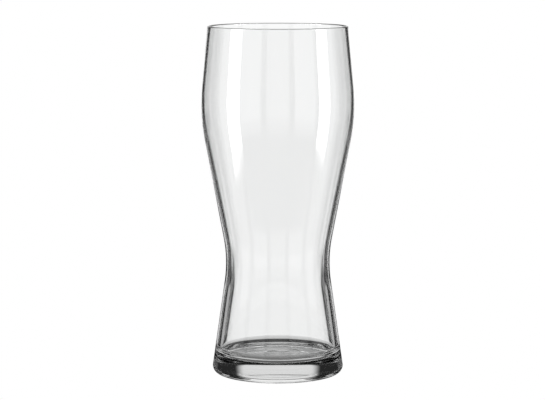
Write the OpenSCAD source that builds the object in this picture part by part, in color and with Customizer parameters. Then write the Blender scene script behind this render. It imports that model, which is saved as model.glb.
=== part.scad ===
// Pint glass: a thin flared bowl, a narrow waist and a heavy solid foot, all one piece of glass.
// +Z is up, along the glass's axis of revolution. The origin is the centre of the ring it stands on.
// Both walls are a chain of round arcs, each joined to the next by the straight line that touches both.

/* [Outside] */
// Height from the table to the top of the lip
glass_h = 176; // [165:1:190]
// Diameter over the lip
rim_d = 70.8; // [68:0.2:74]
// Widest diameter, at the shoulder
bulge_d = 77.2; // [75:0.2:80]
// Height of the widest point
bulge_z = 137.4; // [132:0.2:142]
// Radius of the shoulder's arc, seen from the side
bulge_r = 102; // [80:1:120]
// Narrowest diameter, at the waist
waist_d = 52.5; // [50:0.1:56]
// Height of the narrowest point
waist_z = 56.6; // [52:0.2:62]
// Radius of the waist's arc, seen from the side
waist_r = 68; // [55:1:80]
// Diameter over the foot
foot_d = 66.2; // [62:0.2:70]
// Rounding of the foot's lower edge
heel_r = 3.6; // [3:0.1:5]

/* [Inside] */
// Wall thickness at the lip, which is rounded over by half of it
lip_t = 1.4; // [1:0.1:2]
// Widest inside diameter
bore_bulge_d = 74.6; // [73:0.2:75.6]
// Height of the widest inside point
bore_bulge_z = 137.8; // [134:0.2:142]
// Radius of the arc inside the shoulder
bore_bulge_r = 88; // [75:1:105]
// Narrowest inside diameter
bore_waist_d = 47; // [44:0.2:49]
// Height of the narrowest inside point
bore_waist_z = 54; // [50:0.2:58]
// Radius of the arc inside the waist
bore_waist_r = 75; // [60:1:85]
// Widest inside diameter of the foot's hollow, just above the floor
floor_d = 56.8; // [54:0.2:58]
// Rounding between the wall and the floor
floor_r = 4.6; // [4:0.2:8]
// Solid glass under the floor
floor_t = 9.2; // [7:0.2:11]

/* [Underside] */
// Width of the flat ring that the glass stands on
ring_w = 3.6; // [2:0.2:5]
// How far the underside is domed up inside that ring
dome_h = 1.2; // [0.8:0.1:2.5]

/* [Hidden] */
// Steps round the axis, and sides of a full circle in the cross-section, for the mesh preview
$fn = 180;
section_fn = 720;
// How deep each straight line cuts into the arcs it joins, so that they cross at one clear point
bite = 0.003;
// Pale clear glass
glass_colour = [0.86, 0.9, 0.91, 0.45];
lip_r = lip_t / 2;
lip_centre = [rim_d / 2 - lip_r, glass_h - lip_r];
// Radius of the standing ring's outer and inner edges
ring_out = foot_d / 2 - heel_r;
ring_in = ring_out - ring_w;
// Radius of the underside's spherical dome
dome_r = (ring_in * ring_in + dome_h * dome_h) / (2 * dome_h);

// Arcs of the cross-section: [centre, radius]. A minus radius is an arc that curves in, centred outside.
heel = [[ring_out, heel_r], heel_r];
waist = [[waist_d / 2 + waist_r, waist_z], -waist_r];
bulge = [[bulge_d / 2 - bulge_r, bulge_z], bulge_r];
lip = [lip_centre, lip_r];
floor_corner = [[floor_d / 2 - floor_r, floor_t + floor_r], floor_r];
bore_waist = [[bore_waist_d / 2 + bore_waist_r, bore_waist_z], -bore_waist_r];
bore_bulge = [[bore_bulge_d / 2 - bore_bulge_r, bore_bulge_z], bore_bulge_r];
bore_lip = [lip_centre, -lip_r];

function unit(angle) = [cos(angle), sin(angle)];

// Direction square to the line that touches arc a and the arc b above it, facing away from the axis
function touch_angle(a, b) =
    let (step = b[0] - a[0])
    atan2(step[1], step[0]) - acos((a[1] - b[1]) / norm(step));

function shrunk(arc) = [arc[0], arc[1] - sign(arc[1]) * bite];

// Where the line that joins arc a to arc b starts and ends
function line_ends(a, b) =
    let (away = unit(touch_angle(shrunk(a), shrunk(b))))
    [for (arc = [shrunk(a), shrunk(b)]) arc[0] + arc[1] * away];

// Straight-edged outline from the axis, up through the lines that join a chain of arcs, to the lip and back
function outline(arcs, bottom) = concat(
    [[0, bottom], [arcs[0][0][0], bottom]],
    [for (i = [1 : len(arcs) - 1]) each line_ends(arcs[i - 1], arcs[i])],
    [[lip_centre[0], glass_h], [0, glass_h]]
);

module disc(arc) {
    translate(arc[0])
        circle(r = abs(arc[1]), $fn = section_fn);
}

// The part of a wide disc that lies between the axis and the wall
module disc_below_lip(arc) {
    intersection() {
        disc(arc);
        square([bulge_d, lip_centre[1]]);
    }
}

// Half of the glass's outer shape, as if it were solid
module outer_shape() {
    difference() {
        union() {
            polygon(outline([heel, waist, bulge, lip], 0));
            disc(heel);
            disc_below_lip(bulge);
            disc(lip);
        }
        disc(waist);
    }
}

// Half of the space inside the glass
module bore_shape() {
    difference() {
        union() {
            polygon(outline([floor_corner, bore_waist, bore_bulge, bore_lip], floor_t));
            disc(floor_corner);
            disc_below_lip(bore_bulge);
        }
        disc(bore_waist);
        disc(bore_lip);
    }
}

// The shallow hollow under the foot, inside the ring it stands on
module dome_shape() {
    intersection() {
        translate([0, dome_h - dome_r])
            circle(r = dome_r, $fn = section_fn);
        translate([0, -floor_t])
            square([ring_out, 2 * floor_t]);
    }
}

module glass_body() {
    color(glass_colour)
        rotate_extrude()
            difference() {
                outer_shape();
                bore_shape();
                dome_shape();
            }
}

glass_body();
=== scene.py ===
"""Pint glass: one smooth piece of clear glass in the place of the CAD part, in a studio of lit panels.

The camera sees a plain white floor and background. What the glass refracts and reflects is a set of panels
and dark gaps all round it, which draw its edges.
"""

import math

import bpy
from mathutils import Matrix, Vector


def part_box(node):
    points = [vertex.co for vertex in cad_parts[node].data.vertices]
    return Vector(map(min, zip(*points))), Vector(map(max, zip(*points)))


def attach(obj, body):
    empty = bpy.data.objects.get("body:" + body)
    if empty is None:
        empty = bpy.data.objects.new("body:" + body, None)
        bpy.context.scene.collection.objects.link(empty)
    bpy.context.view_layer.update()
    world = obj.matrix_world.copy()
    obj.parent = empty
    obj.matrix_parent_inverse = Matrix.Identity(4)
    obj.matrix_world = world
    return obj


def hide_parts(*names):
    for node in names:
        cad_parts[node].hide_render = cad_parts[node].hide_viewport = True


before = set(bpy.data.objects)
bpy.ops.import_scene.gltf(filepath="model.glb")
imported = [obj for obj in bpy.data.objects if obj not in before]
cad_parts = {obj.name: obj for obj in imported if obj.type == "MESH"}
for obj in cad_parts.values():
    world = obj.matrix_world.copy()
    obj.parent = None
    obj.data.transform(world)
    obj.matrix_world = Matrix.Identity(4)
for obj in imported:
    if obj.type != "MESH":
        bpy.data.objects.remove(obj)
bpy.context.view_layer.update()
glass_low, glass_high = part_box("glass_body")

MM = 0.001

# ---- Sizes: the same as the CAD part's, in metres ----
glass_h = glass_high.z - glass_low.z
bulge_d = min(glass_high.x - glass_low.x, glass_high.y - glass_low.y)
rim_d = 70.8 * MM
bulge_z = 137.4 * MM
bulge_r = 102 * MM
waist_d = 52.5 * MM
waist_z = 56.6 * MM
waist_r = 68 * MM
foot_d = 66.2 * MM
heel_r = 3.6 * MM
lip_t = 1.4 * MM
bore_bulge_d = 74.6 * MM
bore_bulge_z = 137.8 * MM
bore_bulge_r = 88 * MM
bore_waist_d = 47 * MM
bore_waist_z = 54 * MM
bore_waist_r = 75 * MM
floor_d = 56.8 * MM
floor_r = 4.6 * MM
floor_t = 9.2 * MM
ring_w = 3.6 * MM
dome_h = 1.2 * MM

# ---- How fine the surface is ----
TURNS = 288
ARC_STEP = math.radians(2.5)
LINE_STEP = 3 * MM
DOME_ROWS = 12
FLOOR_ROWS = 40
# Points this close in height are on the same level
SAME_HEIGHT = 0.001 * MM

# ---- Glass: its cords, smears and waves are noise, squeezed so that they run up and down ----
GLASS_IOR = 1.514
GLASS_TINT = (0.975, 0.982, 0.98)
CORD_SCALE = 60
CORD_SQUEEZE = 0.15
SMEAR_SCALE = 45
SMEAR_SQUEEZE = 0.6
SMEAR_FROM = 0.5
SMEAR_FULL = 0.8
SMEAR_ROUGHNESS = 0.015
WAVE_SCALE = 30
WAVE_SQUEEZE = 0.5
WAVE_HEIGHT = 0.03 * MM
NOISE_DETAIL = 3
# Faint rings left in the floor by pressing: centre x, centre y, distance between crests, depth. A higher
# RIPPLE_FADE keeps them strong nearer to the floor's edge.
RIPPLE_FADE = 4
RIPPLES = [
    (0, 0, 5.2 * MM, 0.08 * MM),
    (4 * MM, -3 * MM, 8.5 * MM, 0.12 * MM),
    (-9 * MM, 5 * MM, 11 * MM, 0.1 * MM),
]


# ---------------------------------------------------------------- shape
def unit(angle):
    """The point at an angle on a circle of radius 1, as (distance from the axis, height)."""
    return Vector((math.cos(angle), math.sin(angle)))


def touch_angle(a, b):
    """Angle at which the straight line that touches arc a and then arc b leaves arc a."""
    step = b[0] - a[0]
    return math.atan2(step.y, step.x) - math.acos((a[1] - b[1]) / step.length)


def arc_points(arc, start, end):
    """Points along one arc, both ends included."""
    centre, radius = arc
    steps = max(3, math.ceil(abs(end - start) / ARC_STEP))
    return [centre + radius * unit(start + (end - start) * i / steps) for i in range(steps + 1)]


def line_points(start, end):
    """Points between two arcs, both ends left out."""
    steps = max(1, round((end - start).length / LINE_STEP))
    return [start.lerp(end, i / steps) for i in range(1, steps)]


def wall(arcs, start, end):
    """Points up one wall: arcs joined by the straight lines that touch them."""
    turns = [start] + [touch_angle(a, b) for a, b in zip(arcs, arcs[1:])] + [end]
    points = []
    for arc, first, last in zip(arcs, turns, turns[1:]):
        run = arc_points(arc, first, last)
        if points:
            points += line_points(points[-1], run[0])
        points += run
    return points


def section():
    """The cross-section: from the middle of the underside, out and up, over the lip and down the bore."""
    down, up = -math.pi / 2, math.pi / 2
    lip_r = lip_t / 2
    lip_centre = Vector((rim_d / 2 - lip_r, glass_h - lip_r))
    ring_out = foot_d / 2 - heel_r
    ring_in = ring_out - ring_w
    dome_r = (ring_in ** 2 + dome_h ** 2) / (2 * dome_h)
    dome_turn = math.asin(ring_in / dome_r)
    outside = [
        (Vector((ring_out, heel_r)), heel_r),
        (Vector((waist_d / 2 + waist_r, waist_z)), -waist_r),
        (Vector((bulge_d / 2 - bulge_r, bulge_z)), bulge_r),
        (lip_centre, lip_r),
    ]
    inside = [
        (Vector((floor_d / 2 - floor_r, floor_t + floor_r)), floor_r),
        (Vector((bore_waist_d / 2 + bore_waist_r, bore_waist_z)), -bore_waist_r),
        (Vector((bore_bulge_d / 2 - bore_bulge_r, bore_bulge_z)), bore_bulge_r),
        (lip_centre, -lip_r),
    ]
    dome_centre = Vector((0, dome_h - dome_r))
    under = [dome_centre + dome_r * unit(up - dome_turn * i / DOME_ROWS) for i in range(DOME_ROWS + 1)]
    outer = wall(outside, down, up)
    bore = wall(inside, down, down)
    bore.reverse()
    floor_edge = bore[-1].x
    bottom = [Vector((floor_edge * (1 - i / FLOOR_ROWS), floor_t)) for i in range(1, FLOOR_ROWS + 1)]
    return under + outer + bore[1:] + bottom


def ripple(x, y):
    """How far the floor dips at a point: nowhere above the flat floor, and fading out towards its edge."""
    edge = floor_d / 2 - floor_r
    calm = max(0, 1 - (math.hypot(x, y) / edge) ** RIPPLE_FADE)
    dips = [
        depth / 2 * (1 + math.cos(2 * math.pi * math.hypot(x - centre_x, y - centre_y) / gap))
        for centre_x, centre_y, gap, depth in RIPPLES
    ]
    return calm * sum(dips)


def revolve(name, points):
    """A closed mesh made by turning a cross-section that starts and ends on the axis."""
    ring = points[1:-1]
    vertices = [(0, 0, points[0].y)]
    for point in ring:
        for turn in range(TURNS):
            angle = 2 * math.pi * turn / TURNS
            x = point.x * math.cos(angle)
            y = point.x * math.sin(angle)
            dip = ripple(x, y) if abs(point.y - floor_t) < SAME_HEIGHT else 0
            vertices.append((x, y, point.y - dip))
    vertices.append((0, 0, points[-1].y - ripple(0, 0)))
    top = len(vertices) - 1
    last = top - TURNS
    faces = []
    for turn in range(TURNS):
        after = (turn + 1) % TURNS
        faces.append((0, 1 + after, 1 + turn))
        faces.append((top, last + turn, last + after))
        for row in range(len(ring) - 1):
            low = 1 + row * TURNS
            high = low + TURNS
            faces.append((low + turn, low + after, high + after, high + turn))
    mesh = bpy.data.meshes.new(name)
    mesh.from_pydata(vertices, [], faces)
    mesh.validate()
    mesh.polygons.foreach_set("use_smooth", [True] * len(mesh.polygons))
    mesh.update()
    piece = bpy.data.objects.new(name, mesh)
    bpy.context.scene.collection.objects.link(piece)
    return piece


# ---------------------------------------------------------------- nodes
def maths(tree, operation, a, b=None):
    """One Math node; a and b are numbers or sockets."""
    node = tree.nodes.new("ShaderNodeMath")
    node.operation = operation
    for socket, value in zip(node.inputs, (a, b)):
        if value is None:
            continue
        if isinstance(value, (int, float)):
            socket.default_value = value
        else:
            tree.links.new(value, socket)
    return node.outputs[0]


def times(tree, *values):
    """The product of several values, each a number or a socket."""
    product = values[0]
    for value in values[1:]:
        product = maths(tree, "MULTIPLY", product, value)
    return product


def ramp(tree, value, start, end, from_value, to_value):
    """A smooth change from one value to another while the input goes from start to end."""
    node = tree.nodes.new("ShaderNodeMapRange")
    node.interpolation_type = "SMOOTHSTEP"
    tree.links.new(value, node.inputs["Value"])
    node.inputs["From Min"].default_value = start
    node.inputs["From Max"].default_value = end
    node.inputs["To Min"].default_value = from_value
    node.inputs["To Max"].default_value = to_value
    return node.outputs["Result"]


def noise(tree, where, scale, squeeze):
    """A cloudy pattern; a squeeze under 1 draws it out up and down the glass."""
    place = tree.nodes.new("ShaderNodeMapping")
    place.inputs["Scale"].default_value = (1, 1, squeeze)
    tree.links.new(where, place.inputs["Vector"])
    cloud = tree.nodes.new("ShaderNodeTexNoise")
    cloud.inputs["Scale"].default_value = scale
    cloud.inputs["Detail"].default_value = NOISE_DETAIL
    tree.links.new(place.outputs["Vector"], cloud.inputs["Vector"])
    return cloud.outputs["Fac"]


# ---------------------------------------------------------------- glass
def glass_material():
    """Clear soda-lime glass with upright cords of slightly greyer glass, and a faint waviness and smears."""
    material = bpy.data.materials.new("clear_glass")
    material.use_nodes = True
    tree = material.node_tree
    shader = tree.nodes["Principled BSDF"]
    shader.inputs["IOR"].default_value = GLASS_IOR
    shader.inputs["Transmission Weight"].default_value = 1.0
    where = tree.nodes.new("ShaderNodeTexCoord").outputs["Object"]
    tint = tree.nodes.new("ShaderNodeMix")
    tint.data_type = "RGBA"
    tint.inputs["A"].default_value = GLASS_TINT + (1,)
    tint.inputs["B"].default_value = (1, 1, 1, 1)
    tree.links.new(noise(tree, where, CORD_SCALE, CORD_SQUEEZE), tint.inputs["Factor"])
    tree.links.new(tint.outputs["Result"], shader.inputs["Base Color"])
    cloud = noise(tree, where, SMEAR_SCALE, SMEAR_SQUEEZE)
    smear = ramp(tree, cloud, SMEAR_FROM, SMEAR_FULL, 0, SMEAR_ROUGHNESS)
    tree.links.new(smear, shader.inputs["Roughness"])
    bump = tree.nodes.new("ShaderNodeBump")
    bump.inputs["Strength"].default_value = 1.0
    bump.inputs["Distance"].default_value = WAVE_HEIGHT
    tree.links.new(noise(tree, where, WAVE_SCALE, WAVE_SQUEEZE), bump.inputs["Height"])
    tree.links.new(bump.outputs["Normal"], shader.inputs["Normal"])
    return material


# ---------------------------------------------------------------- studio
# The light is set by the direction in which a ray leaves, as if every panel were far away. Bearings are
# degrees clockwise from +Y seen from above, so the camera stands at bearing 180; heights are degrees above
# level, and widths are degrees too.
# Backdrop, at bearing 0: height, half width, softness of its edge, light.
BACKDROP = [
    (-90, 30, 3, 0.6),
    (-56, 30, 3, 0.6),
    (-50, 30, 3, 0.05),
    (-34, 30, 3, 0.05),
    (-30, 29, 8, 0.6),
    (-24, 26, 8, 0.7),
    (-20, 26, 8, 0.75),
    (-17, 26, 4, 1.0),
    (-14.5, 22, 3, 1.0),
    (-12, 17.5, 3, 1.0),
    (-8, 15.5, 3, 1.0),
    (-4, 16, 3, 1.0),
    (1, 17, 3, 1.0),
    (4, 21, 8, 0.8),
    (8, 25, 9, 0.75),
    (30, 26, 9, 0.7),
    (40, 26, 9, 0.15),
    (90, 26, 9, 0.3),
]
# Panels: bearing, half width, lowest, highest, light. True reflections don't see them.
PANELS = [
    (-42, 5.5, -8, 4, 0.5),
    (42, 5.5, -8, 4, 0.5),
    (-46.5, 4, -20, -13, 0.8),
    (46.5, 4, -20, -13, 0.8),
    (-45, 18, -34, -19, 0.8),
    (45, 18, -28, -19, 0.8),
    (-90, 17, -24, 10, 0.75),
    (90, 17, -24, 10, 0.75),
    (-135, 18, -24, 10, 0.75),
    (135, 18, -24, 10, 0.75),
    (180, 18, -24, 10, 0.55),
    (180, 146, -90, -37, 0.6),
]
# Degrees over which a panel's sides fade out, and half of that at its top and bottom
PANEL_SOFT = 3
PANEL_END = 2
# Strips, which only true reflections see: bearing, half width, height where the strip has faded out, light.
STRIPS = [
    (-109.5, 11, -26, 12.0),
    (105.5, 10, -25, 12.0),
]
# Degrees over which a strip's sides and its lower end fade out
STRIP_SOFT = 3
STRIP_FADE = 5
# Light of the gaps between the panels
ROOM = 0.02
# Ring round the glass: radius, top and length of the fade at its top in metres, tilt in degrees
FLAG_R = 0.1
FLAG_TOP = 0.088
FLAG_FADE = 0.02
FLAG_TILT = -3.7
# Dark patch under the foot: radius, height and light
SHADE_R = 0.029
SHADE_Z = -0.3 * MM
SHADE_LIGHT = 0.12
# Edges round the ring and the patch
ROUND_EDGES = 96
# Floor: side and height
FLOOR_SIZE = 8
FLOOR_Z = -0.6 * MM

# Camera: place in metres, degrees that it looks down, lens and sensor in mm, sideways shift in picture widths
CAMERA_PLACE = (0, -1.0776, 0.22347)
CAMERA_PITCH = 7.1585
LENS = 141.9226
SENSOR_WIDTH = 36
SHIFT = -0.009725

# Path tracing
GLASS_BOUNCES = 24
GLOSSY_BOUNCES = 16
BRIGHTEST_SAMPLE = 2.0


def by_height(tree, elevation, stops, full):
    """A value that follows the elevation through a list of (degrees, value), where no value is over full."""
    node = tree.nodes.new("ShaderNodeFloatCurve")
    curve = node.mapping.curves[0]
    points = [((height + 90) / 180, value / full) for height, value in stops]
    for i, (x, y) in enumerate(points):
        point = curve.points[i] if i < 2 else curve.points.new(x, y)
        point.location = (x, y)
        point.handle_type = "VECTOR"
    node.mapping.extend = "HORIZONTAL"
    node.mapping.update()
    tree.links.new(maths(tree, "DIVIDE", maths(tree, "ADD", elevation, 90), 180), node.inputs["Value"])
    return times(tree, node.outputs["Value"], full)


def turn_from(tree, heading, bearing):
    """Degrees between a ray's heading and a bearing."""
    aim = tree.nodes.new("ShaderNodeVectorMath")
    aim.operation = "DOT_PRODUCT"
    tree.links.new(heading, aim.inputs[0])
    aim.inputs[1].default_value = (math.sin(math.radians(bearing)), math.cos(math.radians(bearing)), 0)
    return maths(tree, "DEGREES", maths(tree, "ARCCOSINE", aim.outputs["Value"]))


def fade(tree, value, limit, soft):
    """1 while the value is under the limit and 0 above it, with a soft edge."""
    over = maths(tree, "DIVIDE", maths(tree, "SUBTRACT", value, limit), soft)
    return ramp(tree, over, -0.5, 0.5, 1, 0)


def ray_direction(tree):
    """The height in degrees of a ray's direction, and its heading as a level unit vector."""
    where = tree.nodes.new("ShaderNodeTexCoord")
    split = tree.nodes.new("ShaderNodeSeparateXYZ")
    tree.links.new(where.outputs["Generated"], split.inputs[0])
    elevation = maths(tree, "DEGREES", maths(tree, "ARCSINE", split.outputs["Z"]))
    level = tree.nodes.new("ShaderNodeCombineXYZ")
    tree.links.new(split.outputs["X"], level.inputs["X"])
    tree.links.new(split.outputs["Y"], level.inputs["Y"])
    heading = tree.nodes.new("ShaderNodeVectorMath")
    heading.operation = "NORMALIZE"
    tree.links.new(level.outputs[0], heading.inputs[0])
    return elevation, heading.outputs["Vector"]


def backdrop(tree, elevation, heading):
    """The light of the backdrop, and of the gaps beside it."""
    width = by_height(tree, elevation, [(height, half) for height, half, _, _ in BACKDROP], 90)
    soft = by_height(tree, elevation, [(height, edge) for height, _, edge, _ in BACKDROP], 90)
    light = by_height(tree, elevation, [(height, level) for height, _, _, level in BACKDROP], 1)
    lit = fade(tree, turn_from(tree, heading, 0), width, soft)
    return maths(tree, "ADD", times(tree, lit, maths(tree, "SUBTRACT", light, ROOM)), ROOM)


def studio():
    """White to the camera; panels and dark gaps to everything else."""
    world = bpy.data.worlds.new("studio")
    bpy.context.scene.world = world
    world.use_nodes = True
    tree = world.node_tree
    tree.nodes.clear()
    elevation, heading = ray_direction(tree)
    path = tree.nodes.new("ShaderNodeLightPath")
    reflected = path.outputs["Is Reflection Ray"]
    refracted = maths(tree, "SUBTRACT", 1, reflected)
    total = backdrop(tree, elevation, heading)
    for bearing, half, low, high, light in PANELS:
        side = fade(tree, turn_from(tree, heading, bearing), half, PANEL_SOFT)
        above = ramp(tree, elevation, low - PANEL_END, low + PANEL_END, 0, light)
        below = ramp(tree, elevation, high - PANEL_END, high + PANEL_END, 1, 0)
        total = maths(tree, "ADD", times(tree, side, above, below, refracted), total)
    for bearing, half, low, light in STRIPS:
        side = fade(tree, turn_from(tree, heading, bearing), half, STRIP_SOFT)
        above = ramp(tree, elevation, low, low + STRIP_FADE, 0, light)
        total = maths(tree, "ADD", times(tree, side, above, reflected), total)
    seen = tree.nodes.new("ShaderNodeBackground")
    tree.links.new(total, seen.inputs["Color"])
    white = tree.nodes.new("ShaderNodeBackground")
    white.inputs["Color"].default_value = (1, 1, 1, 1)
    mix = tree.nodes.new("ShaderNodeMixShader")
    tree.links.new(path.outputs["Is Camera Ray"], mix.inputs["Fac"])
    tree.links.new(seen.outputs[0], mix.inputs[1])
    tree.links.new(white.outputs[0], mix.inputs[2])
    out = tree.nodes.new("ShaderNodeOutputWorld")
    tree.links.new(mix.outputs[0], out.inputs["Surface"])


def emitter(name, light):
    """The material of a plain glowing surface."""
    material = bpy.data.materials.new(name)
    material.use_nodes = True
    tree = material.node_tree
    tree.nodes.clear()
    glow = tree.nodes.new("ShaderNodeEmission")
    glow.inputs["Color"].default_value = (light, light, light, 1)
    out = tree.nodes.new("ShaderNodeOutputMaterial")
    tree.links.new(glow.outputs[0], out.inputs["Surface"])
    return material


def flag_material():
    """Dark, fading out to clear at the top of the ring."""
    material = emitter("flag_black", ROOM)
    tree = material.node_tree
    glow = tree.nodes["Emission"]
    out = tree.nodes["Material Output"]
    where = tree.nodes.new("ShaderNodeTexCoord")
    split = tree.nodes.new("ShaderNodeSeparateXYZ")
    tree.links.new(where.outputs["Object"], split.inputs[0])
    clearness = ramp(tree, split.outputs["Z"], FLAG_TOP - FLAG_FADE, FLAG_TOP, 0, 1)
    clear = tree.nodes.new("ShaderNodeBsdfTransparent")
    mix = tree.nodes.new("ShaderNodeMixShader")
    tree.links.new(clearness, mix.inputs["Fac"])
    tree.links.new(glow.outputs[0], mix.inputs[1])
    tree.links.new(clear.outputs[0], mix.inputs[2])
    tree.links.new(mix.outputs[0], out.inputs["Surface"])
    return material


def flag():
    """A dark ring round the glass, seen in reflections only, which fades the strips out lower down."""
    bpy.ops.mesh.primitive_cylinder_add(
        vertices=ROUND_EDGES,
        radius=FLAG_R,
        depth=2 * FLAG_TOP,
        end_fill_type="NOTHING",
        rotation=(0, math.radians(FLAG_TILT), 0),
    )
    ring = bpy.context.object
    ring.name = "flag_ring"
    ring.data.materials.append(flag_material())
    ring.visible_camera = False
    ring.visible_transmission = False
    ring.visible_shadow = False
    ring.visible_diffuse = False


def shade():
    """The shaded patch of floor under the foot, which only shows through the glass."""
    bpy.ops.mesh.primitive_circle_add(
        vertices=ROUND_EDGES,
        radius=SHADE_R,
        fill_type="NGON",
        location=(0, 0, SHADE_Z),
    )
    patch = bpy.context.object
    patch.name = "shaded_patch"
    patch.data.materials.append(emitter("shade_grey", SHADE_LIGHT))
    patch.visible_camera = False


def floor():
    """The plain white floor. Only the camera sees it: the glass takes its light from the studio."""
    bpy.ops.mesh.primitive_plane_add(size=FLOOR_SIZE, location=(0, 0, FLOOR_Z))
    plane = bpy.context.object
    plane.name = "floor"
    plane.data.materials.append(emitter("floor_white", 1.0))
    plane.visible_transmission = False
    plane.visible_glossy = False


def camera():
    """The photograph's view: a long lens, a little above the rim."""
    lens = bpy.data.cameras.new("camera")
    lens.sensor_width = SENSOR_WIDTH
    lens.lens = LENS
    lens.shift_x = SHIFT
    holder = bpy.data.objects.new("camera", lens)
    bpy.context.scene.collection.objects.link(holder)
    holder.location = CAMERA_PLACE
    holder.rotation_euler = (math.radians(90 - CAMERA_PITCH), 0, 0)
    bpy.context.scene.camera = holder


# ---------------------------------------------------------------- scene
piece = revolve("pint_glass", section())
piece.data.materials.append(glass_material())
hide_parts("glass_body")
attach(piece, "root")
studio()
flag()
shade()
floor()
camera()

scene = bpy.context.scene
scene.view_settings.view_transform = "Standard"
scene.cycles.max_bounces = GLASS_BOUNCES
scene.cycles.transmission_bounces = GLASS_BOUNCES
scene.cycles.glossy_bounces = GLOSSY_BOUNCES
scene.cycles.sample_clamp_indirect = BRIGHTEST_SAMPLE
